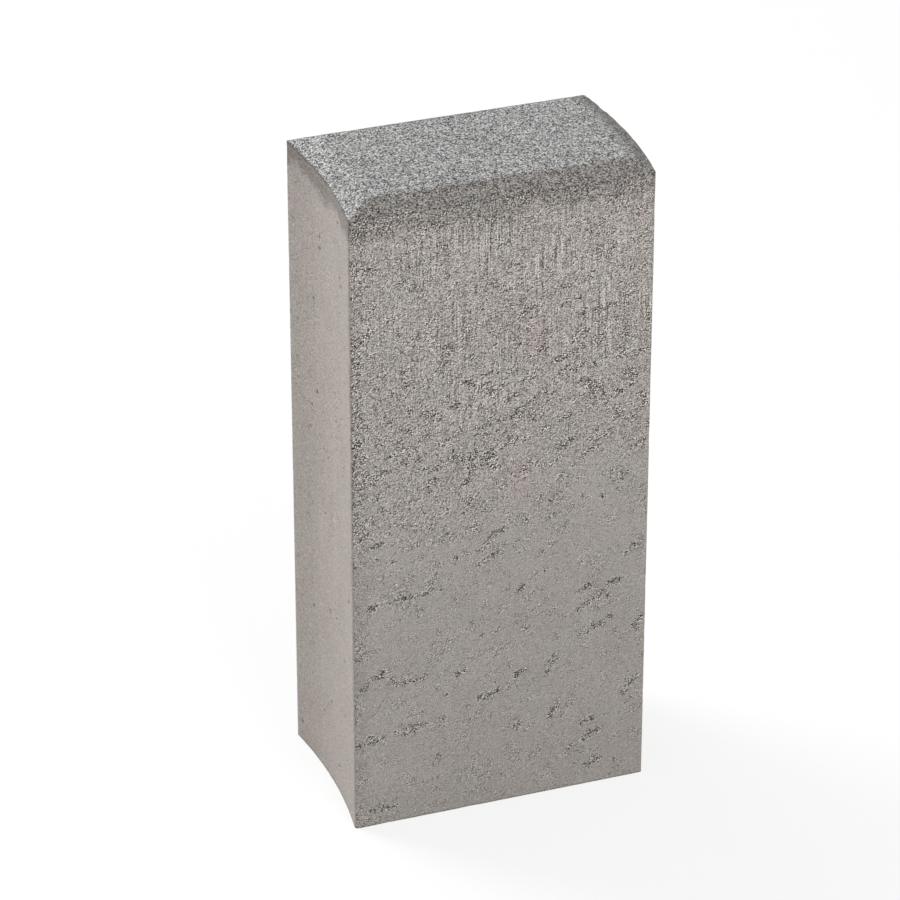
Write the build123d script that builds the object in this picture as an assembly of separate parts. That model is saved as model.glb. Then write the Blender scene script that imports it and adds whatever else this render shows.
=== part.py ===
from build123d import *
import os

# Concrete palisade post, cast as one piece.
# +Z runs up the post, +X from the hollow flank to the bowed flank, and -Y is the front face.
# The origin is the centre of the post's box, on the ground.

# Driving sizes, in mm
LAYING_PITCH = 180.0    # from one post to the next along a row, and the width of the flat front
DEPTH = 110.0           # front face to back face
HEIGHT = 400.0          # ground to top face
FLANK_SAGITTA = 4.5     # how far one flank is hollowed, and the other is bowed
CHAMFER_INSET = 13.0    # top chamfer, in from the outline
CHAMFER_DROP = 6.0      # top chamfer, down from the top face
ARRIS_RADIUS = 2.0      # rounding of the four upright arrises

# The two flanks are the same arc, one pitch apart, so that neighbours nest.
HOLLOW_CORNER_X = -(LAYING_PITCH + FLANK_SAGITTA) / 2
BOWED_CORNER_X = HOLLOW_CORNER_X + LAYING_PITCH
FRONT_Y = -DEPTH / 2
BACK_Y = DEPTH / 2


def plan_outline():
    """The post seen from above, with sharp corners: flat front and back, one hollow flank and one bowed."""
    front_left = (HOLLOW_CORNER_X, FRONT_Y)
    front_right = (BOWED_CORNER_X, FRONT_Y)
    back_right = (BOWED_CORNER_X, BACK_Y)
    back_left = (HOLLOW_CORNER_X, BACK_Y)
    outline = [
        Line(front_left, front_right),
        SagittaArc(front_right, back_right, -FLANK_SAGITTA),
        Line(back_right, back_left),
        SagittaArc(back_left, front_left, FLANK_SAGITTA),
    ]
    return make_face(outline)


def chamfered_block(plan):
    """The sharp-cornered post with its top chamfer, which mitres where two sides meet."""
    block = extrude(plan, amount=HEIGHT)
    top = block.faces().sort_by(Axis.Z)[-1]
    return chamfer(top.edges(), length=CHAMFER_INSET, length2=CHAMFER_DROP, reference=top)


def rounded_prism(plan):
    """The same outline run up the full height, with its upright arrises rounded."""
    return extrude(fillet(plan.vertices(), radius=ARRIS_RADIUS), amount=HEIGHT)


def palisade_post():
    """The post: the chamfered block inside the prism that rounds its arrises."""
    plan = plan_outline()
    return chamfered_block(plan) & rounded_prism(plan)


os.makedirs("parts", exist_ok=True)
export_step(palisade_post(), "parts/palisade_post.step")
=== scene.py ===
"""Dresses the concrete palisade post: one casting with pits, drag marks, worn arrises and a sandy top."""
import logging
import math
from dataclasses import dataclass
from enum import Enum
from functools import partial
from typing import Any, Callable, Optional, Union

import bmesh
import bpy
import numpy as np
from mathutils import Matrix, Vector, kdtree, noise


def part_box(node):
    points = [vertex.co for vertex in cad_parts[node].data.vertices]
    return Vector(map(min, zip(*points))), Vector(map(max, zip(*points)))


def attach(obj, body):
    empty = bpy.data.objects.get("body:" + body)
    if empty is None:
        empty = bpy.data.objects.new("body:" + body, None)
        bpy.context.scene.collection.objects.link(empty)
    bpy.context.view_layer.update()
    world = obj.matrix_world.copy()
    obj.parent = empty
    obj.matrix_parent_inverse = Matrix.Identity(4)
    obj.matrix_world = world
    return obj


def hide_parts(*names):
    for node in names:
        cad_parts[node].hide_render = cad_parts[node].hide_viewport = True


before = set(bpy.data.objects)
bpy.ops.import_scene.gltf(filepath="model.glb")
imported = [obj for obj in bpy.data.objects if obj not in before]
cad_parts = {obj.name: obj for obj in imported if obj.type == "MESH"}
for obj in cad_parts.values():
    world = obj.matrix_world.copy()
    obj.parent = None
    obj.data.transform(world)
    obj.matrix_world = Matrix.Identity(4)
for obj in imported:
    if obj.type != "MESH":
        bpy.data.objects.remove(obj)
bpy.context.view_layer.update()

LOG = logging.getLogger("palisade_post")
NODE = "palisade_post"
BODY = "root"
PIECE = "palisade_post_cast"
MM = 0.001
HAIR = 0.01 * MM
FLANK_SAGITTA = 4.5 * MM
ARRIS_RADIUS = 2.0 * MM
IMAGE_PIXELS = 900
SENSOR_MM = 36.0
NOISE_MEAN = 0.5
SEED_SKEW = 0.37
QUAD_CORNERS = 4
HALVINGS = 30

Socket = bpy.types.NodeSocket
Sockets = dict[Union[str, int], Any]
Number = Union[float, "Signal"]
Span = tuple[float, float]
Triple = tuple[float, float, float]
Colour = Triple

WHITE: Colour = (1.0, 1.0, 1.0)


def smooth(value: np.ndarray, low: float, high: float) -> np.ndarray:
    """Eases from 0 at low to 1 at high.

    Args:
        value: The numbers to ease.
        low: Where the result is 0.
        high: Where the result is 1. It may lie under low.

    Returns:
        Numbers from 0 to 1, as many as were given.
    """
    part = np.clip((value - low) / (high - low), 0.0, 1.0)
    return part * part * (3.0 - 2.0 * part)


class Signal:
    """A socket that holds a number, for sums written in Python."""

    def __init__(self, graph: "ShaderGraph", socket: Socket) -> None:
        """Keeps the socket and the graph that it is in."""
        self.graph = graph
        self.socket = socket

    def __add__(self, other: Number) -> "Signal":
        """This plus other."""
        return self.graph.math("ADD", self, other)

    def __radd__(self, other: Number) -> "Signal":
        """Other plus this."""
        return self.graph.math("ADD", other, self)

    def __sub__(self, other: Number) -> "Signal":
        """This less other."""
        return self.graph.math("SUBTRACT", self, other)

    def __rsub__(self, other: Number) -> "Signal":
        """Other less this."""
        return self.graph.math("SUBTRACT", other, self)

    def __mul__(self, other: Number) -> "Signal":
        """This times other."""
        return self.graph.math("MULTIPLY", self, other)

    def __rmul__(self, other: Number) -> "Signal":
        """Other times this."""
        return self.graph.math("MULTIPLY", other, self)

    def above(self, low: Number, high: Number) -> "Signal":
        """Eases from 0 at low to 1 at high.

        Args:
            low: Where the result is 0.
            high: Where the result is 1, over low.

        Returns:
            A number from 0 to 1.
        """
        settings = {"interpolation_type": "SMOOTHSTEP"}
        sockets = {"Value": self, "From Min": low, "From Max": high}
        return self.graph.number("ShaderNodeMapRange", settings, sockets, "Result")

    def below(self, low: Number, high: Number) -> "Signal":
        """Eases from 1 at low to 0 at high."""
        return 1.0 - self.above(low, high)

    def largest(self, other: Number) -> "Signal":
        """The larger of this and other."""
        return self.graph.math("MAXIMUM", self, other)

    def smallest(self, other: Number) -> "Signal":
        """The smaller of this and other."""
        return self.graph.math("MINIMUM", self, other)


class ShaderGraph:
    """A material's or the world's nodes, made from Python expressions."""

    def __init__(self, tree: bpy.types.NodeTree) -> None:
        """Starts an empty tree."""
        self.tree = tree
        tree.nodes.clear()

    def node(self, kind: str, settings: Optional[dict[str, Any]] = None,
             sockets: Optional[Sockets] = None) -> bpy.types.Node:
        """Adds any node.

        Args:
            kind: The node's type name.
            settings: Its properties, set before its sockets.
            sockets: Values or links for its inputs, by name or number.

        Returns:
            The new node.
        """
        made = self.tree.nodes.new(kind)
        for name, value in (settings or {}).items():
            setattr(made, name, value)
        for key, value in (sockets or {}).items():
            if isinstance(value, Signal):
                value = value.socket
            if isinstance(value, Socket):
                self.tree.links.new(value, made.inputs[key])
            else:
                made.inputs[key].default_value = value
        return made

    def number(self, kind: str, settings: dict[str, Any], sockets: Sockets,
               output: Union[str, int] = 0) -> Signal:
        """Adds a node and gives one of its outputs as a number."""
        return Signal(self, self.node(kind, settings, sockets).outputs[output])

    def math(self, operation: str, *values: Number) -> Signal:
        """Adds a Math node on numbers."""
        return self.number("ShaderNodeMath", {"operation": operation}, dict(enumerate(values)))

    def attribute(self, name: str) -> Signal:
        """A number that the mesh stores at each vertex."""
        return self.number("ShaderNodeAttribute", {"attribute_name": name}, {}, "Fac")

    def vector(self, operation: str, sockets: Sockets) -> Socket:
        """Adds a Vector Math node and gives its vector."""
        return self.node("ShaderNodeVectorMath", {"operation": operation}, sockets).outputs["Vector"]

    def blend(self, first: Any, second: Any, share: Number) -> Socket:
        """Mixes two colours.

        Args:
            first: The colour at share 0.
            second: The colour at share 1.
            share: From 0 to 1.

        Returns:
            The mixed colour's socket.
        """
        factor, colour_a, colour_b, result = 0, 6, 7, 2
        sockets = {factor: share, colour_a: opaque(first), colour_b: opaque(second)}
        return self.node("ShaderNodeMix", {"data_type": "RGBA"}, sockets).outputs[result]

    def cells(self, place: Socket, per_mm: float) -> tuple[Signal, Signal]:
        """Scattered cells.

        Args:
            place: The coordinates, in millimetres.
            per_mm: Cells to a millimetre.

        Returns:
            The distance to the nearest cell's middle, in cells, and that cell's own random number.
        """
        made = self.node("ShaderNodeTexVoronoi", {}, {"Vector": place, "Scale": per_mm})
        split = self.node("ShaderNodeSeparateColor", {}, {0: made.outputs["Color"]})
        return Signal(self, made.outputs["Distance"]), Signal(self, split.outputs[0])


def opaque(colour: Any) -> Any:
    """Adds full alpha to a written colour, and leaves a socket as it is."""
    return (*colour, 1.0) if isinstance(colour, tuple) else colour


class Mark(Enum):
    """What the mesh stores at each vertex for the finish, from 0 to 1."""

    CAP = "cap"
    # Chamfers that get painted shade: the front, the back and the bowed flank's.
    SHADED_LEDGE = "shaded_ledge"
    FLANK = "flank"
    PIT = "pit"
    CRUMBLE = "crumble"
    ARRIS = "arris"


@dataclass(frozen=True)
class Lumps:
    """Smooth noise of about 0 to 1, as lumps with octaves of finer ones."""

    per_mm: float = 1.0
    octaves: float = 2.0
    roughness: float = 0.5

    def at(self, graph: ShaderGraph, place: Socket) -> Signal:
        """The noise at a place in millimetres."""
        sizes = {"Scale": self.per_mm, "Detail": self.octaves, "Roughness": self.roughness}
        return graph.number("ShaderNodeTexNoise", {}, {"Vector": place, **sizes}, "Fac")


@dataclass(frozen=True)
class Surface:
    """What the finish knows of a point: its place in millimetres, slow noise and the mesh's marks."""

    graph: ShaderGraph
    place: Socket
    across: Signal
    along: Signal
    height: Signal
    patches: Signal
    marks: dict[Mark, Signal]

    @classmethod
    def read(cls, graph: ShaderGraph, slow: Lumps) -> "Surface":
        """Adds the nodes that read a point.

        Args:
            graph: The material's nodes.
            slow: The slow noise.

        Returns:
            The point's signals.
        """
        metres = graph.node("ShaderNodeTexCoord").outputs["Object"]
        place = graph.vector("SCALE", {0: metres, "Scale": 1.0 / MM})
        axes = graph.node("ShaderNodeSeparateXYZ", {}, {0: place})
        across, along, height = (Signal(graph, axes.outputs[axis]) for axis in "XYZ")
        marks = {mark: graph.attribute(mark.value) for mark in Mark}
        return cls(graph, place, across, along, height, slow.at(graph, place), marks)


@dataclass(frozen=True)
class Strength:
    """A feature's strength where a mark is 0, and where it is 1."""

    without: float
    within: float

    def at(self, mark: Signal) -> Signal:
        """The strength for a mark of 0 to 1."""
        return self.without + (self.within - self.without) * mark


@dataclass(frozen=True)
class SandGrain:
    """Sand grains: cells of their own brightness with darker rims, under finer noise."""

    cells_per_mm: float = 1.55
    lumps: Lumps = Lumps(2.1, 1.0, 0.6)
    cell_share: float = 1.5
    lump_share: float = 1.4
    rim_share: float = 0.8
    mean_distance: float = 0.45

    def brightness(self, spot: Surface) -> Signal:
        """How light the grains are.

        Args:
            spot: The point's signals.

        Returns:
            From about -1, dark, to 1, light.
        """
        distance, random = spot.graph.cells(spot.place, self.cells_per_mm)
        fine = self.lumps.at(spot.graph, spot.place)
        grains = (random - NOISE_MEAN) * self.cell_share + (fine - NOISE_MEAN) * self.lump_share
        return grains - (distance - self.mean_distance) * self.rim_share


@dataclass(frozen=True)
class DragMarks:
    """Fine upright lines in the upper part, where the mould was drawn off."""

    stretch: Triple = (1.25, 1.25, 0.04)
    lumps: Lumps = Lumps(1.0, 1.0, 0.55)
    faintest: float = 0.30
    patch_gain: float = 0.9
    patch_span: Span = (0.44, 0.62)
    height_span: Span = (210.0, 320.0)
    across_span: Span = (-120.0, -25.0)

    def brightness(self, spot: Surface) -> Signal:
        """How light the lines are.

        Args:
            spot: The point's signals.

        Returns:
            Under 0 in a dark line and over 0 in a light one.
        """
        stretched = spot.graph.vector("MULTIPLY", {0: spot.place, 1: self.stretch})
        lines = self.lumps.at(spot.graph, stretched) - NOISE_MEAN
        strength = self.faintest + self.patch_gain * spot.patches.above(*self.patch_span)
        extent = spot.height.above(*self.height_span) * spot.across.above(*self.across_span)
        return lines * strength * extent


@dataclass(frozen=True)
class Crumbs:
    """Small ragged holes, more where the surface is open, each with a painted highlight on a lip to one
    side.
    """

    lumps: Lumps = Lumps(1.2, 2.0, 0.6)
    closed_floor: float = 0.672
    open_drop: float = 0.125
    edge: float = 0.02
    # Painted highlight: the lips lie below and to the right of the holes, as if lit from the upper left.
    lip_shift: Triple = (-0.4, 0.0, 0.62)

    def holes(self, graph: ShaderGraph, place: Socket, openness: Signal) -> Signal:
        """The holes: 1 in one and 0 round it."""
        floor = self.closed_floor - self.open_drop * openness
        return self.lumps.at(graph, place).above(floor, floor + self.edge)

    def lips(self, graph: ShaderGraph, place: Socket, openness: Signal, holes: Signal) -> Signal:
        """The holes' lips: 1 on one and 0 beside it."""
        moved = graph.vector("ADD", {0: place, 1: self.lip_shift})
        return self.holes(graph, moved, openness) * (1.0 - holes)


@dataclass(frozen=True)
class Openness:
    """How crumbly the walls are: in slanting clusters, most in the middle and least near the ground."""

    slant: float = -24.0
    cluster_size: Triple = (8.5, 8.5, 5.0)
    lumps: Lumps = Lumps(1.0, 2.0, 0.6)
    cluster_span: Span = (0.48, 0.69)
    lean: float = 0.2
    wander: float = 150.0
    crown_span: Span = (40.0, 130.0)
    upper_span: Span = (130.0, 235.0)
    middle_span: Span = (150.0, 250.0)
    base: float = 0.11
    crown_base: float = 0.10
    upper_base: float = 0.27
    middle_base: float = 0.05
    cluster: float = 0.28
    upper_cluster: float = 0.16
    middle_cluster: float = 0.42

    def level(self, spot: Surface, foot_mm: float) -> Signal:
        """How open the surface is.

        Args:
            spot: The point's signals.
            foot_mm: Height of the chamfer's foot.

        Returns:
            From 0, closed and smooth, to 1, open and crumbly.
        """
        turn = (0.0, math.radians(self.slant), 0.0)
        slanted = spot.graph.node("ShaderNodeMapping", {"vector_type": "TEXTURE"}, {
            "Vector": spot.place, "Rotation": turn, "Scale": self.cluster_size})
        clusters = self.lumps.at(spot.graph, slanted.outputs[0])
        down = foot_mm - spot.height + self.lean * spot.across + (spot.patches - NOISE_MEAN) * self.wander
        crown = down.below(*self.crown_span)
        upper = down.below(*self.upper_span)
        middle = (1.0 - crown) * down.below(*self.middle_span)
        closed = self.base + self.crown_base * crown + self.upper_base * upper + self.middle_base * middle
        clustered = self.cluster + self.upper_cluster * upper + self.middle_cluster * middle
        return closed + clusters.above(*self.cluster_span) * clustered


@dataclass(frozen=True)
class TintPatch:
    """Faint patches of another tint."""

    tint: Colour
    lumps: Lumps
    span: Span
    share: float
    shift: Triple = (0.0, 0.0, 0.0)

    def over(self, spot: Surface, colour: Socket) -> Socket:
        """Lays the patches over a colour.

        Args:
            spot: The point's signals.
            colour: The colour under them.

        Returns:
            The new colour's socket.
        """
        moved = spot.graph.vector("ADD", {0: spot.place, 1: self.shift})
        shown = self.lumps.at(spot.graph, moved).above(*self.span) * self.share
        return spot.graph.blend(colour, self.tint, shown)


@dataclass(frozen=True)
class Texture:
    """The finish's features at each point."""

    band: Signal
    line: Signal
    strip: Signal
    openness: Signal
    grain: Signal
    streaks: Signal
    holes: Signal
    lips: Signal


@dataclass(frozen=True)
class ConcreteFinish:
    """Grey cast concrete: lengths in millimetres, linear colours, shades as shares of the tint."""

    foot_mm: float
    wall_tint: Colour = (0.376, 0.347, 0.321)
    flank_tint: Colour = (0.370, 0.334, 0.304)
    # The top's lighter, cooler grey is painted skylight, and the shaded chamfers keep less of it.
    skylit_cap_tint: Colour = (0.400, 0.400, 0.394)
    shaded_ledge_skylight_cut: float = 0.75
    rosy: TintPatch = TintPatch((0.386, 0.332, 0.315), Lumps(1 / 31), (0.52, 0.75), 0.55)
    green: TintPatch = TintPatch((0.352, 0.349, 0.319), Lumps(1 / 27), (0.55, 0.8), 0.7, (71.0, 13.0, 37.0))
    roughness: float = 0.92
    gloss: float = 0.25

    grain: SandGrain = SandGrain()
    drag_marks: DragMarks = DragMarks()
    crumbs: Crumbs = Crumbs()
    openness: Openness = Openness()
    patches: Lumps = Lumps(1 / 24, 3.0, 0.6)
    band_rise: float = 2.0
    band_raggedness: float = 28.0
    band_fade: Span = (-5.0, 6.0)
    # Painted shadow: a thin dark line just under the chamfer's foot.
    shadow_line_fade: Span = (-1.8, -0.6)
    strip_span: Span = (-89.0, -80.0)
    strip_patches: Span = (0.42, 0.60)
    strip_openness: float = 0.32
    crumble_openness: float = 0.85
    band_openness: float = 0.42
    flank_openness: Strength = Strength(1.0, 0.4)
    band_streaks: Strength = Strength(1.0, 0.3)
    flank_scale: Strength = Strength(1.0, 0.55)

    darkest: float = 0.10
    lightest: float = 2.3
    plain_grain: Strength = Strength(0.06, 0.24)
    open_grain: Strength = Strength(1.5, 0.25)
    cap_grain: Strength = Strength(1.7, 1.3)
    streak_shade: float = 1.75
    lip_painted_highlight: Strength = Strength(0.95, 0.45)
    patch_shade: float = 0.16
    strip_shade: float = 0.08
    # The dark, rough band under the chamfer; on the flanks, where it is stronger, it is painted shade under
    # the top's rim.
    dark_band_and_painted_rim_shade: Strength = Strength(0.31, 0.39)
    shadow_line_shade: float = 0.24
    # Painted highlight: the walls are lighter along their arrises and edges.
    arris_painted_highlight: float = 0.04
    # Painted shade: the front and back darken towards the ground, where less light falls.
    low_shade_span: Span = (110.0, 350.0)
    low_painted_shade: float = 0.125
    # Painted shade: the flanks darken towards the back, where the hollow flank turns from the light behind
    # on the left.
    flank_back_span: Span = (-15.0, 50.0)
    flank_back_painted_shade: float = 0.10
    # Painted shade inside the crumbs' holes and the carved pits.
    hole_painted_shade: Strength = Strength(0.92, 0.52)
    pit_painted_shade: float = 0.35
    # Painted shade on the front, back and bowed chamfers, which the light from behind on the left leaves
    # darker.
    ledge_painted_shade: float = 0.21

    plain_relief: float = 0.04
    open_relief: float = 0.05
    cap_relief: float = 0.28
    streak_relief: float = 0.15
    hole_relief: float = 0.20
    lip_relief: float = 0.05

    def material(self) -> bpy.types.Material:
        """The finish as a material.

        Returns:
            The material, with varied colour and bump.
        """
        made = bpy.data.materials.new("cast_concrete")
        made.use_nodes = True
        graph = ShaderGraph(made.node_tree)
        spot = Surface.read(graph, self.patches)
        texture = self.texture(spot)
        colour = graph.vector("SCALE", {0: self.tint(spot), "Scale": self.shade(spot, texture)})
        bump = graph.node("ShaderNodeBump", {}, {
            "Strength": 1.0, "Distance": MM, "Height": self.relief(spot, texture)})
        shader = graph.node("ShaderNodeBsdfPrincipled", {}, {
            "Base Color": colour,
            "Roughness": self.roughness,
            "Specular IOR Level": self.gloss,
            "Normal": bump.outputs["Normal"],
        })
        graph.node("ShaderNodeOutputMaterial", {}, {"Surface": shader.outputs[0]})
        return made

    def texture(self, spot: Surface) -> Texture:
        """The features that the colour and the bump share.

        Args:
            spot: The point's signals.

        Returns:
            The features.
        """
        flank = spot.marks[Mark.FLANK]
        wall = 1.0 - spot.marks[Mark.CAP]
        face = wall * (1.0 - flank)
        band = self.top_band(spot) * wall
        line = spot.height.above(*(self.foot_mm + rise for rise in self.shadow_line_fade)) * wall
        strip = spot.across.below(*self.strip_span) * face
        crumbly = self.openness.level(spot, self.foot_mm)
        crumbly = crumbly + strip * spot.patches.above(*self.strip_patches) * self.strip_openness
        crumbly = crumbly.largest(spot.marks[Mark.CRUMBLE] * self.crumble_openness)
        openness = crumbly.largest(band * self.band_openness) * self.flank_openness.at(flank) * wall
        streaks = self.drag_marks.brightness(spot) * face * self.band_streaks.at(band)
        loose = spot.graph.vector("SCALE", {0: spot.place, "Scale": self.flank_scale.at(flank)})
        holes = self.crumbs.holes(spot.graph, loose, openness)
        lips = self.crumbs.lips(spot.graph, loose, openness, holes)
        return Texture(band, line, strip, openness, self.grain.brightness(spot), streaks, holes, lips)

    def top_band(self, spot: Surface) -> Signal:
        """The dark, rough band under the top chamfer, with a ragged lower edge: 1 in it and 0 under it."""
        # On the flanks the band's darkening is painted shade under the top's rim.
        edge = self.foot_mm + self.band_rise - self.band_raggedness * spot.patches
        return spot.height.above(*(edge + rise for rise in self.band_fade))

    def shade(self, spot: Surface, texture: Texture) -> Signal:
        """How light the tint is.

        Args:
            spot: The point's signals.
            texture: The features there.

        Returns:
            1 for the plain tint, less where it is darker and more where it is lighter.
        """
        cap, shaded_ledge, flank = (spot.marks[mark] for mark in (Mark.CAP, Mark.SHADED_LEDGE, Mark.FLANK))
        speckle = self.plain_grain.at(flank) + texture.openness * self.open_grain.at(flank)
        speckle = speckle + cap * self.cap_grain.at(shaded_ledge)
        shade = 1.0 + texture.grain * speckle + texture.streaks * self.streak_shade
        # Painted highlight on the crumbs' lips.
        shade = shade + texture.lips * self.lip_painted_highlight.at(flank)
        shade = shade + (spot.patches - NOISE_MEAN) * self.patch_shade
        # The dark band under the chamfer, with painted shade under the top's rim on the flanks.
        shade = shade - texture.strip * self.strip_shade - texture.band * self.dark_band_and_painted_rim_shade.at(flank)
        # Painted shadow: a thin dark line just under the chamfer's foot.
        shade = shade - texture.line * self.shadow_line_shade
        # Painted highlight: the walls are lighter along their arrises and edges.
        shade = shade + spot.marks[Mark.ARRIS] * (1.0 - cap) * self.arris_painted_highlight
        # Painted shade: the front and back darken towards the ground, where less light falls.
        shade = shade - spot.height.below(*self.low_shade_span) * (1.0 - flank) * self.low_painted_shade
        # Painted shade: the flanks darken towards the back, where the hollow flank turns from the light
        # behind on the left.
        shade = shade - spot.along.above(*self.flank_back_span) * flank * self.flank_back_painted_shade
        # Painted shade in the crumbs' holes, which the bump alone leaves unshaded.
        shade = shade * (1.0 - self.hole_painted_shade.at(flank) * texture.holes)
        # Painted shade in the carved pits, and on the front, back and bowed chamfers.
        shade = shade * (1.0 - self.pit_painted_shade * spot.marks[Mark.PIT]) * (1.0 - self.ledge_painted_shade * shaded_ledge)
        return shade.largest(self.darkest).smallest(self.lightest)

    def relief(self, spot: Surface, texture: Texture) -> Signal:
        """The bump's height.

        Args:
            spot: The point's signals.
            texture: The features there.

        Returns:
            The height in millimetres.
        """
        sandy = self.plain_relief + self.open_relief * texture.openness
        sandy = sandy + self.cap_relief * spot.marks[Mark.CAP]
        height = texture.grain * sandy + texture.streaks * self.streak_relief
        return height - texture.holes * self.hole_relief + texture.lips * self.lip_relief

    def tint(self, spot: Surface) -> Socket:
        """The colour before its shade: warm grey walls with faint rosy and green patches, and a cooler top.

        Args:
            spot: The point's signals.

        Returns:
            The colour's socket.
        """
        wall = spot.graph.blend(self.wall_tint, self.flank_tint, spot.marks[Mark.FLANK])
        wall = self.green.over(spot, self.rosy.over(spot, wall))
        # Painted skylight: the top is cooled, and the chamfers that get painted shade less so.
        painted_skylight = spot.marks[Mark.CAP] * (1.0 - self.shaded_ledge_skylight_cut * spot.marks[Mark.SHADED_LEDGE])
        return spot.graph.blend(wall, self.skylit_cap_tint, painted_skylight)


@dataclass(frozen=True)
class PlanOutline:
    """The post's outline seen from above, in metres: flat front and back, hollow left and bowed right."""

    left: float
    right: float
    half_depth: float
    sagitta: float
    arris: float

    @property
    def radius(self) -> float:
        """Radius of both flanks."""
        return (self.half_depth ** 2 + self.sagitta ** 2) / (2.0 * self.sagitta)

    @property
    def hollow_centre(self) -> float:
        """X of the hollow flank's centre."""
        return self.left + self.sagitta - self.radius

    @property
    def bowed_centre(self) -> float:
        """X of the bowed flank's centre."""
        return self.right + self.sagitta - self.radius

    def inset(self, plan: np.ndarray) -> tuple[np.ndarray, np.ndarray]:
        """How far points lie inside the sharp outline.

        Args:
            plan: X and Y of each point.

        Returns:
            The distance to the front or back, and to the nearer flank.
        """
        from_hollow = np.hypot(plan[:, 0] - self.hollow_centre, plan[:, 1]) - self.radius
        from_bowed = self.radius - np.hypot(plan[:, 0] - self.bowed_centre, plan[:, 1])
        return self.half_depth - np.abs(plan[:, 1]), np.minimum(from_hollow, from_bowed)

    def stations(self, cell: float, arris_steps: int) -> np.ndarray:
        """Points round the outline with its arrises rounded, counter-clockwise from the front left.

        Args:
            cell: About how far apart the points are.
            arris_steps: Steps round each arris.

        Returns:
            X and Y of each point. The back has the same X places as the front.
        """
        rise = self.half_depth - self.arris
        left_x = self.hollow_centre + math.sqrt((self.radius + self.arris) ** 2 - rise ** 2)
        right_x = self.bowed_centre + math.sqrt((self.radius - self.arris) ** 2 - rise ** 2)
        hollow_turn = math.atan2(rise, left_x - self.hollow_centre)
        bowed_turn = math.atan2(rise, right_x - self.bowed_centre)
        flank_steps = round(2.0 * self.half_depth / cell)
        front_x = np.linspace(left_x, right_x, round((right_x - left_x) / cell) + 1)
        front = np.column_stack([front_x, np.full_like(front_x, -self.half_depth)])
        quarter = math.pi / 2.0
        right_arris = self.arc(right_x, -rise, self.arris, -quarter, -bowed_turn, arris_steps)
        bowed = self.arc(self.bowed_centre, 0.0, self.radius, -bowed_turn, bowed_turn, flank_steps)
        hollow = self.arc(self.hollow_centre, 0.0, self.radius, hollow_turn, -hollow_turn, flank_steps)
        left_arris = self.arc(left_x, -rise, self.arris, hollow_turn - math.pi, -quarter, arris_steps)
        to_back = np.array([1.0, -1.0])
        back_right = (right_arris * to_back)[::-1]
        back_left = (left_arris * to_back)[::-1]
        return np.vstack([front, right_arris[1:], bowed[1:], back_right[1:], (front * to_back)[::-1][1:],
                          back_left[1:], hollow[1:], left_arris[1:-1]])

    @staticmethod
    def arc(x: float, y: float, radius: float, start: float, end: float, steps: int) -> np.ndarray:
        """Points along an arc about (x, y), from one angle to another."""
        turn = np.linspace(start, end, steps + 1)
        return np.column_stack([x + radius * np.cos(turn), y + radius * np.sin(turn)])


@dataclass(frozen=True)
class Pits:
    """Air holes in the faces: their middles, radii and depths, in metres."""

    centres: np.ndarray
    radii: np.ndarray
    depths: np.ndarray


@dataclass(frozen=True)
class CrumbledPatch:
    """A place where the surface has crumbled into many pits, in millimetres and degrees."""

    from_left: float
    under_foot: float
    spread: float
    slope: float
    thinnest: float = 0.5
    thickness_share: float = 0.06
    fewest_pits: int = 8
    pits_per_mm: float = 2.0

    @property
    def thickness(self) -> float:
        """How far the pits spread across the patch."""
        return self.thinnest + self.thickness_share * self.spread

    @property
    def pits(self) -> int:
        """How many pits it has."""
        return int(self.fewest_pits + self.pits_per_mm * self.spread)


FRONT_PATCHES = tuple(CrumbledPatch(*sizes) for sizes in (
    (133, 70, 2.5, 10), (105, 72, 2.0, 20), (40, 78, 3.0, 15), (55, 97, 1.5, 20), (80, 108, 4.5, 5),
    (137, 123, 2.5, 20), (60, 125, 2.0, 20), (97, 136, 5.0, 25), (35, 155, 4.0, 10), (6, 157, 2.5, 40),
    (21, 160, 2.5, 20), (49, 163, 5.5, 20), (127, 163, 3.0, 25), (173, 169, 3.0, 30), (69, 174, 4.0, 35),
    (124, 194, 2.5, 30), (6, 201, 3.0, 50), (17, 205, 3.0, 20), (87, 211, 3.0, 20), (83, 227, 5.0, 22),
    (171, 237, 3.0, 40), (37, 243, 8.0, 8), (13, 246, 2.5, 10), (101, 252, 2.0, 30), (143, 258, 2.5, 20),
    (160, 258, 2.0, 20), (144, 269, 6.0, 28), (147, 287, 4.5, 25), (174, 289, 3.0, 50), (15, 293, 3.0, 30),
    (35, 300, 5.0, 5), (66, 300, 2.0, 20), (122, 305, 2.5, 60), (102, 308, 2.0, 30), (82, 319, 5.0, 22),
    (171, 330, 3.0, 40), (37, 332, 8.0, 8), (13, 336, 2.5, 10), (123, 338, 2.5, 60), (101, 344, 2.0, 30),
    (143, 350, 2.5, 20), (144, 361, 6.0, 28), (147, 380, 4.5, 25), (15, 383, 5.0, 5)))


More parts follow.
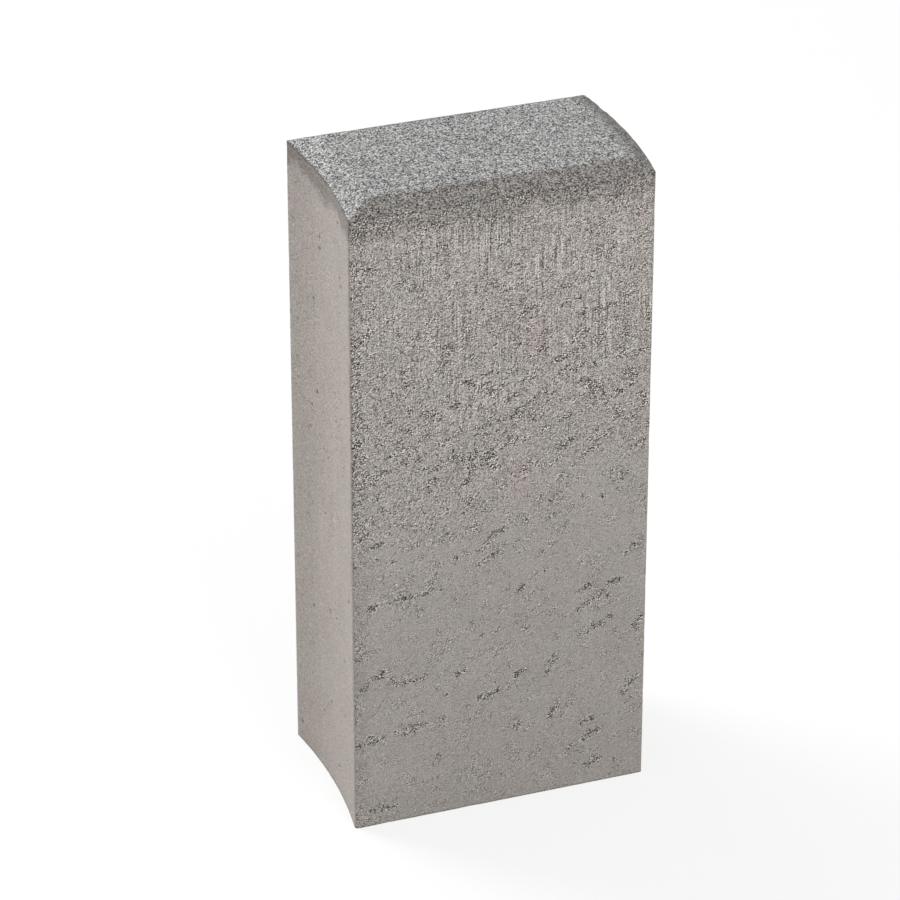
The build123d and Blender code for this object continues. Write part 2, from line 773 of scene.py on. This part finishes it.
@dataclass
class PitSower:
    """Scatters air holes over the walls, some alone and some in slanting crumbled patches."""

    outline: PlanOutline
    wall_height: float
    seed: int = 21
    lone_pits: int = 60
    lone_bias: Span = (1.6, 1.35)
    back_patches: int = 16
    patch_bias: Span = (1.7, 1.1)
    patch_spread: Span = (2.0, 7.0)
    patch_slope: Span = (-30.0, -5.0)
    flank_pits: int = 40
    flank_scale: float = 1.5
    margin: float = 3.0 * MM
    usual_radius: float = 0.58
    radius_spread: float = 0.33
    radius_range: Span = (0.38, 1.4)
    depth_shares: Span = (0.6, 1.0)

    def sow(self) -> Pits:
        """Makes every pit.

        Returns:
            The pits of the front, the back and both flanks.
        """
        draw = np.random.default_rng(self.seed)
        rows = self.flat_face(draw, -self.outline.half_depth, FRONT_PATCHES)
        rows += self.flat_face(draw, self.outline.half_depth, self.random_patches(draw))
        for centre_x in (self.outline.hollow_centre, self.outline.bowed_centre):
            rows += self.flank(draw, centre_x)
        table = np.array(rows)
        return Pits(table[:, :3], table[:, 3], table[:, 4])

    def pit_size(self, draw: np.random.Generator, scale: float = 1.0) -> tuple[float, float]:
        """A pit's size: most pits are small, and a few are wide.

        Args:
            draw: The random numbers.
            scale: Times the usual size.

        Returns:
            The radius and the depth, in metres.
        """
        radius = draw.lognormal(math.log(self.usual_radius), self.radius_spread)
        radius = scale * MM * float(np.clip(radius, *self.radius_range))
        return radius, radius * draw.uniform(*self.depth_shares)

    def random_patches(self, draw: np.random.Generator) -> tuple[CrumbledPatch, ...]:
        """Crumbled patches for the back.

        Args:
            draw: The random numbers.

        Returns:
            The patches.
        """
        width = (self.outline.right - self.outline.left) / MM
        height = self.wall_height / MM
        return tuple(
            CrumbledPatch(draw.uniform(0.0, width), height * draw.beta(*self.patch_bias),
                          draw.uniform(*self.patch_spread), draw.uniform(*self.patch_slope))
            for _ in range(self.back_patches))

    def flat_face(self, draw: np.random.Generator, y: float,
                  patches: tuple[CrumbledPatch, ...]) -> list[tuple[float, ...]]:
        """Pits of the front or back: lone ones and crumbled patches.

        Args:
            draw: The random numbers.
            y: Where the face lies.
            patches: The crumbled patches.

        Returns:
            X, Y, Z, radius and depth of each pit.
        """
        rows = []
        low_x, high_x = self.outline.left + self.margin, self.outline.right - self.margin
        low_z, high_z = self.margin, self.wall_height - self.margin
        for _ in range(self.lone_pits):
            x = draw.uniform(low_x, high_x)
            z = low_z + (high_z - low_z) * draw.beta(*self.lone_bias)
            rows.append((x, y, z, *self.pit_size(draw)))
        for patch in patches:
            slope = math.radians(patch.slope)
            x = self.outline.left + patch.from_left * MM
            z = self.wall_height - patch.under_foot * MM
            for _ in range(patch.pits):
                along = draw.normal(0.0, patch.spread * MM)
                over = draw.normal(0.0, patch.thickness * MM)
                pit_x = x + along * math.cos(slope) - over * math.sin(slope)
                pit_z = z + along * math.sin(slope) + over * math.cos(slope)
                size = self.pit_size(draw)
                if low_x < pit_x < high_x and low_z < pit_z < high_z:
                    rows.append((pit_x, y, pit_z, *size))
        return rows

    def flank(self, draw: np.random.Generator, centre_x: float) -> list[tuple[float, ...]]:
        """Pits of one curved flank.

        Args:
            draw: The random numbers.
            centre_x: X of the flank's centre.

        Returns:
            X, Y, Z, radius and depth of each pit.
        """
        rows = []
        reach = self.outline.half_depth - self.margin
        for _ in range(self.flank_pits):
            y = draw.uniform(-reach, reach)
            z = draw.uniform(self.margin, self.wall_height - self.margin)
            x = centre_x + math.sqrt(self.outline.radius ** 2 - y * y)
            rows.append((x, y, z, *self.pit_size(draw, self.flank_scale)))
        return rows


@dataclass(frozen=True)
class Relief:
    """Noise pressed into the surface, in metres: its lumps' size, seed, offset and depth."""

    lump: float
    seed: float
    offset: float
    depth: float

    def at(self, points: np.ndarray) -> np.ndarray:
        """How deep it is.

        Args:
            points: Places in metres, one in each row.

        Returns:
            The depth at each point, 0 or more.
        """
        shift = Vector((self.seed, self.seed * SEED_SKEW, -self.seed))
        lumps = np.array([noise.noise(Vector(point) / self.lump + shift) for point in points])
        return np.maximum(lumps + self.offset, 0.0) * self.depth


@dataclass
class PostCasting:
    """The whole post as one cast piece, in metres. Reaches in cells are shares of the plain cell's side."""

    outline: PlanOutline
    height: float
    chamfer_inset: float = 13.0 * MM
    chamfer_drop: float = 6.0 * MM
    cell: float = 3.3 * MM
    arris_steps: int = 3
    edge_cells: float = 2.0
    rim_cells: float = 0.6
    pit_cells: tuple[float, ...] = (0.8, 0.4, 0.17)

    waves: Relief = Relief(55.0 * MM, 3.0, 1.0, 0.12 * MM)
    sand: Relief = Relief(1.7 * MM, 11.0, 1.0, 0.16 * MM)
    crumbs: Relief = Relief(2.6 * MM, 23.0, -0.05, 0.28 * MM)
    chips: Relief = Relief(11.0 * MM, 31.0, -0.30, 0.9 * MM)
    cap_sand: float = 0.5
    wall_sand: float = 0.12
    wear_reach: float = 3.0 * MM
    wear: float = 0.12 * MM
    deepest_at_base: float = 0.8 * MM
    crumble_reach: float = 2.2 * MM
    pit_raggedness: float = 0.5
    pit_lumps: float = 1.1 * MM
    pit_steepness: int = 3
    full_pit: float = 0.5 * MM

    foot_blur: Span = (-0.2 * MM, 0.4 * MM)
    flank_blur: Span = (-0.3 * MM, 0.7 * MM)
    ledge_blur: float = 0.5 * MM
    # The part of the bowed flank's chamfer that gets painted shade.
    bowed_shade_strip: Span = (0.8, 0.4)

    @property
    def foot(self) -> float:
        """Height of the chamfer's foot."""
        return self.height - self.chamfer_drop

    def build(self) -> bpy.types.Object:
        """Makes the post and dresses it.

        Returns:
            The finished piece.
        """
        pits = PitSower(self.outline, self.foot).sow()
        work = self.smooth_casting()
        self.refine(work, self.near_edges)
        self.refine(work, self.near_rim)
        for share in self.pit_cells:
            self.refine(work, partial(self.near_pits, pits=pits, reach=share * self.cell))
        mesh = self.carve(work, pits)
        mesh.materials.append(ConcreteFinish(foot_mm=self.foot / MM).material())
        piece = bpy.data.objects.new(PIECE, mesh)
        bpy.context.scene.collection.objects.link(piece)
        return piece

    def cap_height(self, plan: np.ndarray) -> np.ndarray:
        """Height of the top or its chamfer over each point."""
        inset = np.minimum(*self.outline.inset(plan))
        return self.height - self.chamfer_drop * (1.0 - np.clip(inset / self.chamfer_inset, 0.0, 1.0))

    def chamfer_ring(self, ring: np.ndarray, spine: np.ndarray, inset: float) -> np.ndarray:
        """The points, on the way from the outline to the spine, that lie one inset inside the outline.

        Args:
            ring: X and Y of the outline's points.
            spine: Where each point's way ends.
            inset: How far inside the new points lie.

        Returns:
            X and Y of the new points.
        """
        near, far = np.zeros(len(ring)), np.ones(len(ring))
        for _ in range(HALVINGS):
            middle = (near + far) / 2.0
            short = np.minimum(*self.outline.inset(ring + middle[:, None] * (spine - ring))) < inset
            near, far = np.where(short, middle, near), np.where(short, far, middle)
        return ring + far[:, None] * (spine - ring)

    def smooth_casting(self) -> bmesh.types.BMesh:
        """The post before its relief: walls, chamfer and top in rings, and a flat base.

        Returns:
            The closed mesh, in about even cells.
        """
        ring = self.outline.stations(self.cell, self.arris_steps)
        reach = self.outline.half_depth
        ends = np.clip(ring[:, 0], self.outline.left + reach, self.outline.right - reach)
        spine = np.column_stack([ends, np.zeros(len(ring))])
        top_of_wall = self.cap_height(ring)
        rings = [np.column_stack([ring, top_of_wall * share])
                 for share in np.linspace(0.0, 1.0, round(self.height / self.cell) + 1)]
        chamfer_steps = round(self.chamfer_inset / self.cell)
        rim = ring
        for inset in np.linspace(0.0, self.chamfer_inset, chamfer_steps + 1)[1:]:
            rim = self.chamfer_ring(ring, spine, inset)
            rings.append(np.column_stack([rim, self.cap_height(rim)]))
        top_steps = round((reach - self.chamfer_inset) / self.cell)
        for share in np.linspace(0.0, 1.0, top_steps + 1)[1:]:
            flat = rim + share * (spine - rim)
            rings.append(np.column_stack([flat, np.full(len(flat), self.height)]))
        work = bmesh.new()
        rows = [[work.verts.new(point) for point in level] for level in rings]
        work.faces.new(rows[0][::-1])
        for lower, upper in zip(rows, rows[1:]):
            for index in range(len(ring)):
                follow = (index + 1) % len(ring)
                work.faces.new((lower[index], lower[follow], upper[follow], upper[index]))
        bmesh.ops.remove_doubles(work, verts=work.verts, dist=HAIR)
        return work

    def refine(self, work: bmesh.types.BMesh, choose: Callable[[np.ndarray], np.ndarray]) -> None:
        """Splits some of the mesh's cells in four.

        Args:
            work: The mesh.
            choose: Tells from the middles of the cells, the base left out, which ones are split.
        """
        faces = [face for face in work.faces if len(face.verts) <= QUAD_CORNERS]
        chosen = choose(np.array([face.calc_center_median() for face in faces]))
        edges = dict.fromkeys(edge for face, wanted in zip(faces, chosen) if wanted for edge in face.edges)
        bmesh.ops.subdivide_edges(work, edges=list(edges), cuts=1, use_grid_fill=True)

    def near_edges(self, centres: np.ndarray) -> np.ndarray:
        """Which cells lie on the cap or along an edge of the walls."""
        near = self.edge_nearness(centres, self.edge_cells * self.cell) > 0.0
        return near | (centres[:, 2] > self.foot)

    def near_rim(self, centres: np.ndarray) -> np.ndarray:
        """Which cells lie along the chamfer's upper or lower edge.

        Args:
            centres: The cells' middles.

        Returns:
            True for each such cell.
        """
        reach = self.rim_cells * self.cell
        inset = np.minimum(*self.outline.inset(centres[:, :2]))
        rim = (centres[:, 2] > self.foot) & (np.abs(inset - self.chamfer_inset) < reach)
        return rim | (np.maximum(np.abs(centres[:, 2] - self.foot), inset) < reach)

    def near_pits(self, centres: np.ndarray, pits: Pits, reach: float) -> np.ndarray:
        """Which cells lie in or round a pit.

        Args:
            centres: The cells' middles.
            pits: The air holes.
            reach: How far beyond a pit a cell may lie.

        Returns:
            True for each such cell.
        """
        chosen = np.zeros(len(centres), dtype=bool)
        tree = self.tree(centres)
        for centre, radius in zip(pits.centres, pits.radii):
            chosen[[index for _, index, _ in tree.find_range(centre, radius + reach)]] = True
        return chosen

    def tree(self, points: np.ndarray) -> kdtree.KDTree:
        """A tree for finding the points near a place.

        Args:
            points: Places in metres.

        Returns:
            The tree, with each point's number.
        """
        tree = kdtree.KDTree(len(points))
        for index, point in enumerate(points):
            tree.insert(point, index)
        tree.balance()
        return tree

    def edge_nearness(self, points: np.ndarray, reach: float) -> np.ndarray:
        """How near points are to an arris, the chamfer's foot or the base's edge.

        Args:
            points: Places in metres.
            reach: How far from the edge the result comes to 0.

        Returns:
            1 on an edge, falling to 0.
        """
        flat, flank = self.outline.inset(points[:, :2])
        upright = np.maximum(np.abs(flat), np.abs(flank))
        foot = np.maximum(np.abs(points[:, 2] - self.foot), np.minimum(flat, flank))
        base = np.maximum(points[:, 2], np.minimum(flat, flank))
        return smooth(np.minimum(np.minimum(upright, foot), base), reach, 0.0)

    def zones(self, points: np.ndarray) -> dict[Mark, np.ndarray]:
        """The marks that follow from where a point is.

        Args:
            points: Places in metres.

        Returns:
            The cap with its chamfer, the chamfers that get painted shade, the flanks, and how near an edge
            is.
        """
        flat, flank = self.outline.inset(points[:, :2])
        inset = np.minimum(flat, flank)
        cap = smooth(points[:, 2], *(self.foot + rise for rise in self.foot_blur))
        rim = self.chamfer_inset
        chamfer = cap * smooth(inset, rim + self.ledge_blur, rim - self.ledge_blur)
        front_or_back = smooth(flank - flat, -self.ledge_blur, self.ledge_blur)
        # The bowed flank's chamfer gets painted shade too, as the light from the left misses it.
        bowed = (points[:, 0] > 0.0) * smooth(inset, *(share * rim for share in self.bowed_shade_strip))
        return {
            Mark.CAP: cap,
            Mark.SHADED_LEDGE: chamfer * np.maximum(front_or_back, bowed),
            Mark.FLANK: (1.0 - cap) * smooth(flat - flank, *self.flank_blur),
            Mark.ARRIS: self.edge_nearness(points, self.wear_reach),
        }

    def carve(self, work: bmesh.types.BMesh, pits: Pits) -> bpy.types.Mesh:
        """Presses the relief into the mesh and stores the marks that the finish reads.

        Args:
            work: The smooth casting, which is used up.
            pits: The air holes.

        Returns:
            The finished mesh.
        """
        work.normal_update()
        work.verts.ensure_lookup_table()
        points = np.array([vert.co for vert in work.verts])
        normals = np.array([vert.normal for vert in work.verts])
        on_base = points[:, 2] < HAIR
        normals[on_base, 2] = 0.0
        marks = self.zones(points)
        pit_depth, marks[Mark.CRUMBLE] = self.pit_depths(points, pits)
        marks[Mark.PIT] = np.clip(pit_depth / self.full_pit, 0.0, 1.0)

        cap, near = marks[Mark.CAP], marks[Mark.ARRIS]
        worn = self.crumbs.at(points) + self.chips.at(points) + self.wear
        depth = self.waves.at(points) * (1.0 - near) + near * worn
        depth = depth + self.sand.at(points) * np.maximum(self.cap_sand * cap, self.wall_sand)
        depth = depth + pit_depth * (1.0 - cap)
        depth[on_base] = np.minimum(depth[on_base], self.deepest_at_base)

        mesh = bpy.data.meshes.new(PIECE)
        work.to_mesh(mesh)
        work.free()
        moved = points - normals * depth[:, None]
        mesh.vertices.foreach_set("co", moved.ravel())
        mesh.polygons.foreach_set("use_smooth", np.ones(len(mesh.polygons), dtype=bool))
        for mark, values in marks.items():
            mesh.attributes.new(mark.value, "FLOAT", "POINT").data.foreach_set("value", values)
        mesh.update()
        return mesh

    def pit_depths(self, points: np.ndarray, pits: Pits) -> tuple[np.ndarray, np.ndarray]:
        """How deep the pits are at each point, and how crumbled the surface is round them.

        Args:
            points: Places in metres.
            pits: The air holes.

        Returns:
            Depths in metres, 0 where there is no pit, and 1 in a pit falling to 0 round it.
        """
        depths, crumble = np.zeros(len(points)), np.zeros(len(points))
        tree = self.tree(points)
        for centre, radius, depth in zip(pits.centres, pits.radii, pits.depths):
            for place, index, distance in tree.find_range(centre, radius + self.crumble_reach):
                beyond = max(distance - radius, 0.0) / self.crumble_reach
                crumble[index] = max(crumble[index], 1.0 - beyond)
                if distance < radius * (1.0 + self.pit_raggedness):
                    ragged = 1.0 + self.pit_raggedness * noise.noise(place / self.pit_lumps)
                    share = distance / (radius * ragged)
                    depths[index] = max(depths[index], depth * (1.0 - share ** self.pit_steepness))
        return depths, crumble


@dataclass(frozen=True)
class StudioCamera:
    """A plain camera on the post's middle, with its angles in degrees and lengths in metres."""

    azimuth: float = -19.81
    elevation: float = 29.13
    distance: float = 2.597
    focal_pixels: float = 4500.0
    aside: float = -0.0130
    raised: float = 0.0058

    def place(self, middle: Vector) -> None:
        """Makes the camera and gives it to the scene.

        Args:
            middle: The point that it turns about.
        """
        turn, rise = math.radians(self.azimuth), math.radians(self.elevation)
        back = Vector((math.sin(turn) * math.cos(rise), -math.cos(turn) * math.cos(rise), math.sin(rise)))
        right = Vector((math.cos(turn), math.sin(turn), 0.0))
        up = back.cross(right)
        lens = bpy.data.cameras.new("camera")
        lens.sensor_width = SENSOR_MM
        lens.lens = self.focal_pixels / IMAGE_PIXELS * SENSOR_MM
        camera = bpy.data.objects.new("camera", lens)
        eye = middle + back * self.distance + right * self.aside + up * self.raised
        turned = Matrix((right, up, back)).transposed().to_4x4()
        camera.matrix_world = Matrix.Translation(eye) @ turned
        bpy.context.scene.collection.objects.link(camera)
        bpy.context.scene.camera = camera


@dataclass(frozen=True)
class SoftLamp:
    """A square lamp that points at the post, with its level on a surface that faces it."""

    name: str
    towards: Triple
    distance: float
    side: float
    level: float

    def place(self, middle: Vector) -> None:
        """Makes the lamp.

        Args:
            middle: The point that it shines on.
        """
        light = bpy.data.lights.new(self.name, "AREA")
        light.shape = "SQUARE"
        light.size = self.side
        light.energy = self.level * (math.pi * self.distance) ** 2
        lamp = bpy.data.objects.new(self.name, light)
        away = Vector(self.towards).normalized()
        lamp.location = middle + away * self.distance
        lamp.rotation_euler = away.to_track_quat("Z", "Y").to_euler()
        bpy.context.scene.collection.objects.link(lamp)


@dataclass(frozen=True)
class Studio:
    """A white floor and soft light, brightest from behind on the left."""

    ambient: float = 0.45
    floor_side: float = 14.0
    floor_grey: float = 0.65
    floor_white: float = 0.78
    lamps: tuple[SoftLamp, ...] = (
        SoftLamp("top", (-0.30, 0.55, 0.78), 2.6, 1.4, 0.30),
        SoftLamp("side", (-0.64, 0.78, 0.28), 2.6, 1.0, 0.76),
        SoftLamp("front", (0.15, -0.90, 0.35), 2.9, 1.2, 0.55),
    )

    def build(self, middle: Vector) -> None:
        """Makes the floor, the world, the lamps and the camera.

        Args:
            middle: The post's middle.
        """
        self.floor()
        self.world()
        for lamp in self.lamps:
            lamp.place(middle)
        StudioCamera().place(middle)
        bpy.context.scene.view_settings.view_transform = "Standard"

    def seen(self, graph: ShaderGraph) -> Signal:
        """What the camera sees, also in gloss and through glass.

        Args:
            graph: The nodes to add to.

        Returns:
            1 for such a ray and 0 for one that only lights.
        """
        path = graph.node("ShaderNodeLightPath").outputs
        direct = Signal(graph, path["Is Camera Ray"])
        glossy = Signal(graph, path["Is Glossy Ray"])
        return direct.largest(glossy).largest(Signal(graph, path["Is Transmission Ray"]))

    def floor(self) -> bpy.types.Object:
        """The floor, which shows white and keeps the post's shadow.

        Returns:
            The floor.
        """
        half = self.floor_side / 2.0
        mesh = bpy.data.meshes.new("floor")
        corners = [(-half, -half, 0.0), (half, -half, 0.0), (half, half, 0.0), (-half, half, 0.0)]
        mesh.from_pydata(corners, [], [(0, 1, 2, 3)])
        made = bpy.data.materials.new("white_floor")
        made.use_nodes = True
        graph = ShaderGraph(made.node_tree)
        seen = self.seen(graph)
        paint = graph.blend((self.floor_grey,) * 3, WHITE, seen)
        matt = graph.node("ShaderNodeBsdfDiffuse", {}, {"Color": paint})
        glow = graph.node("ShaderNodeEmission", {}, {"Color": opaque(WHITE), "Strength": 1.0})
        mixed = graph.node("ShaderNodeMixShader", {}, {
            0: seen * self.floor_white, 1: matt.outputs[0], 2: glow.outputs[0]})
        graph.node("ShaderNodeOutputMaterial", {}, {"Surface": mixed.outputs[0]})
        mesh.materials.append(made)
        floor = bpy.data.objects.new("floor", mesh)
        bpy.context.scene.collection.objects.link(floor)
        return floor

    def world(self) -> None:
        """An even light all round, which the camera sees as white."""
        world = bpy.data.worlds.new("studio")
        world.use_nodes = True
        graph = ShaderGraph(world.node_tree)
        level = self.ambient + (1.0 - self.ambient) * self.seen(graph)
        sky = graph.node("ShaderNodeBackground", {}, {"Color": opaque(WHITE), "Strength": level})
        graph.node("ShaderNodeOutputWorld", {}, {"Surface": sky.outputs[0]})
        bpy.context.scene.world = world


def main() -> None:
    """Builds the post and the studio round it, and logs each piece."""
    logging.basicConfig(level=logging.INFO, format="%(name)s: %(message)s")
    low, high = (Vector(corner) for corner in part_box(NODE))
    # Unrounded, the hollow corners would reach as far left as the bow reaches right.
    outline = PlanOutline(left=-high.x, right=high.x - FLANK_SAGITTA, half_depth=high.y,
                          sagitta=FLANK_SAGITTA, arris=ARRIS_RADIUS)
    post = PostCasting(outline, high.z - low.z).build()
    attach(post, BODY)
    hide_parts(NODE)
    post.data.calc_loop_triangles()
    LOG.info("%s: %d triangles", post.name, len(post.data.loop_triangles))
    Studio().build((low + high) / 2.0)
    LOG.info("floor, lamps and camera are in place")


if __name__ == "__main__":
    main()
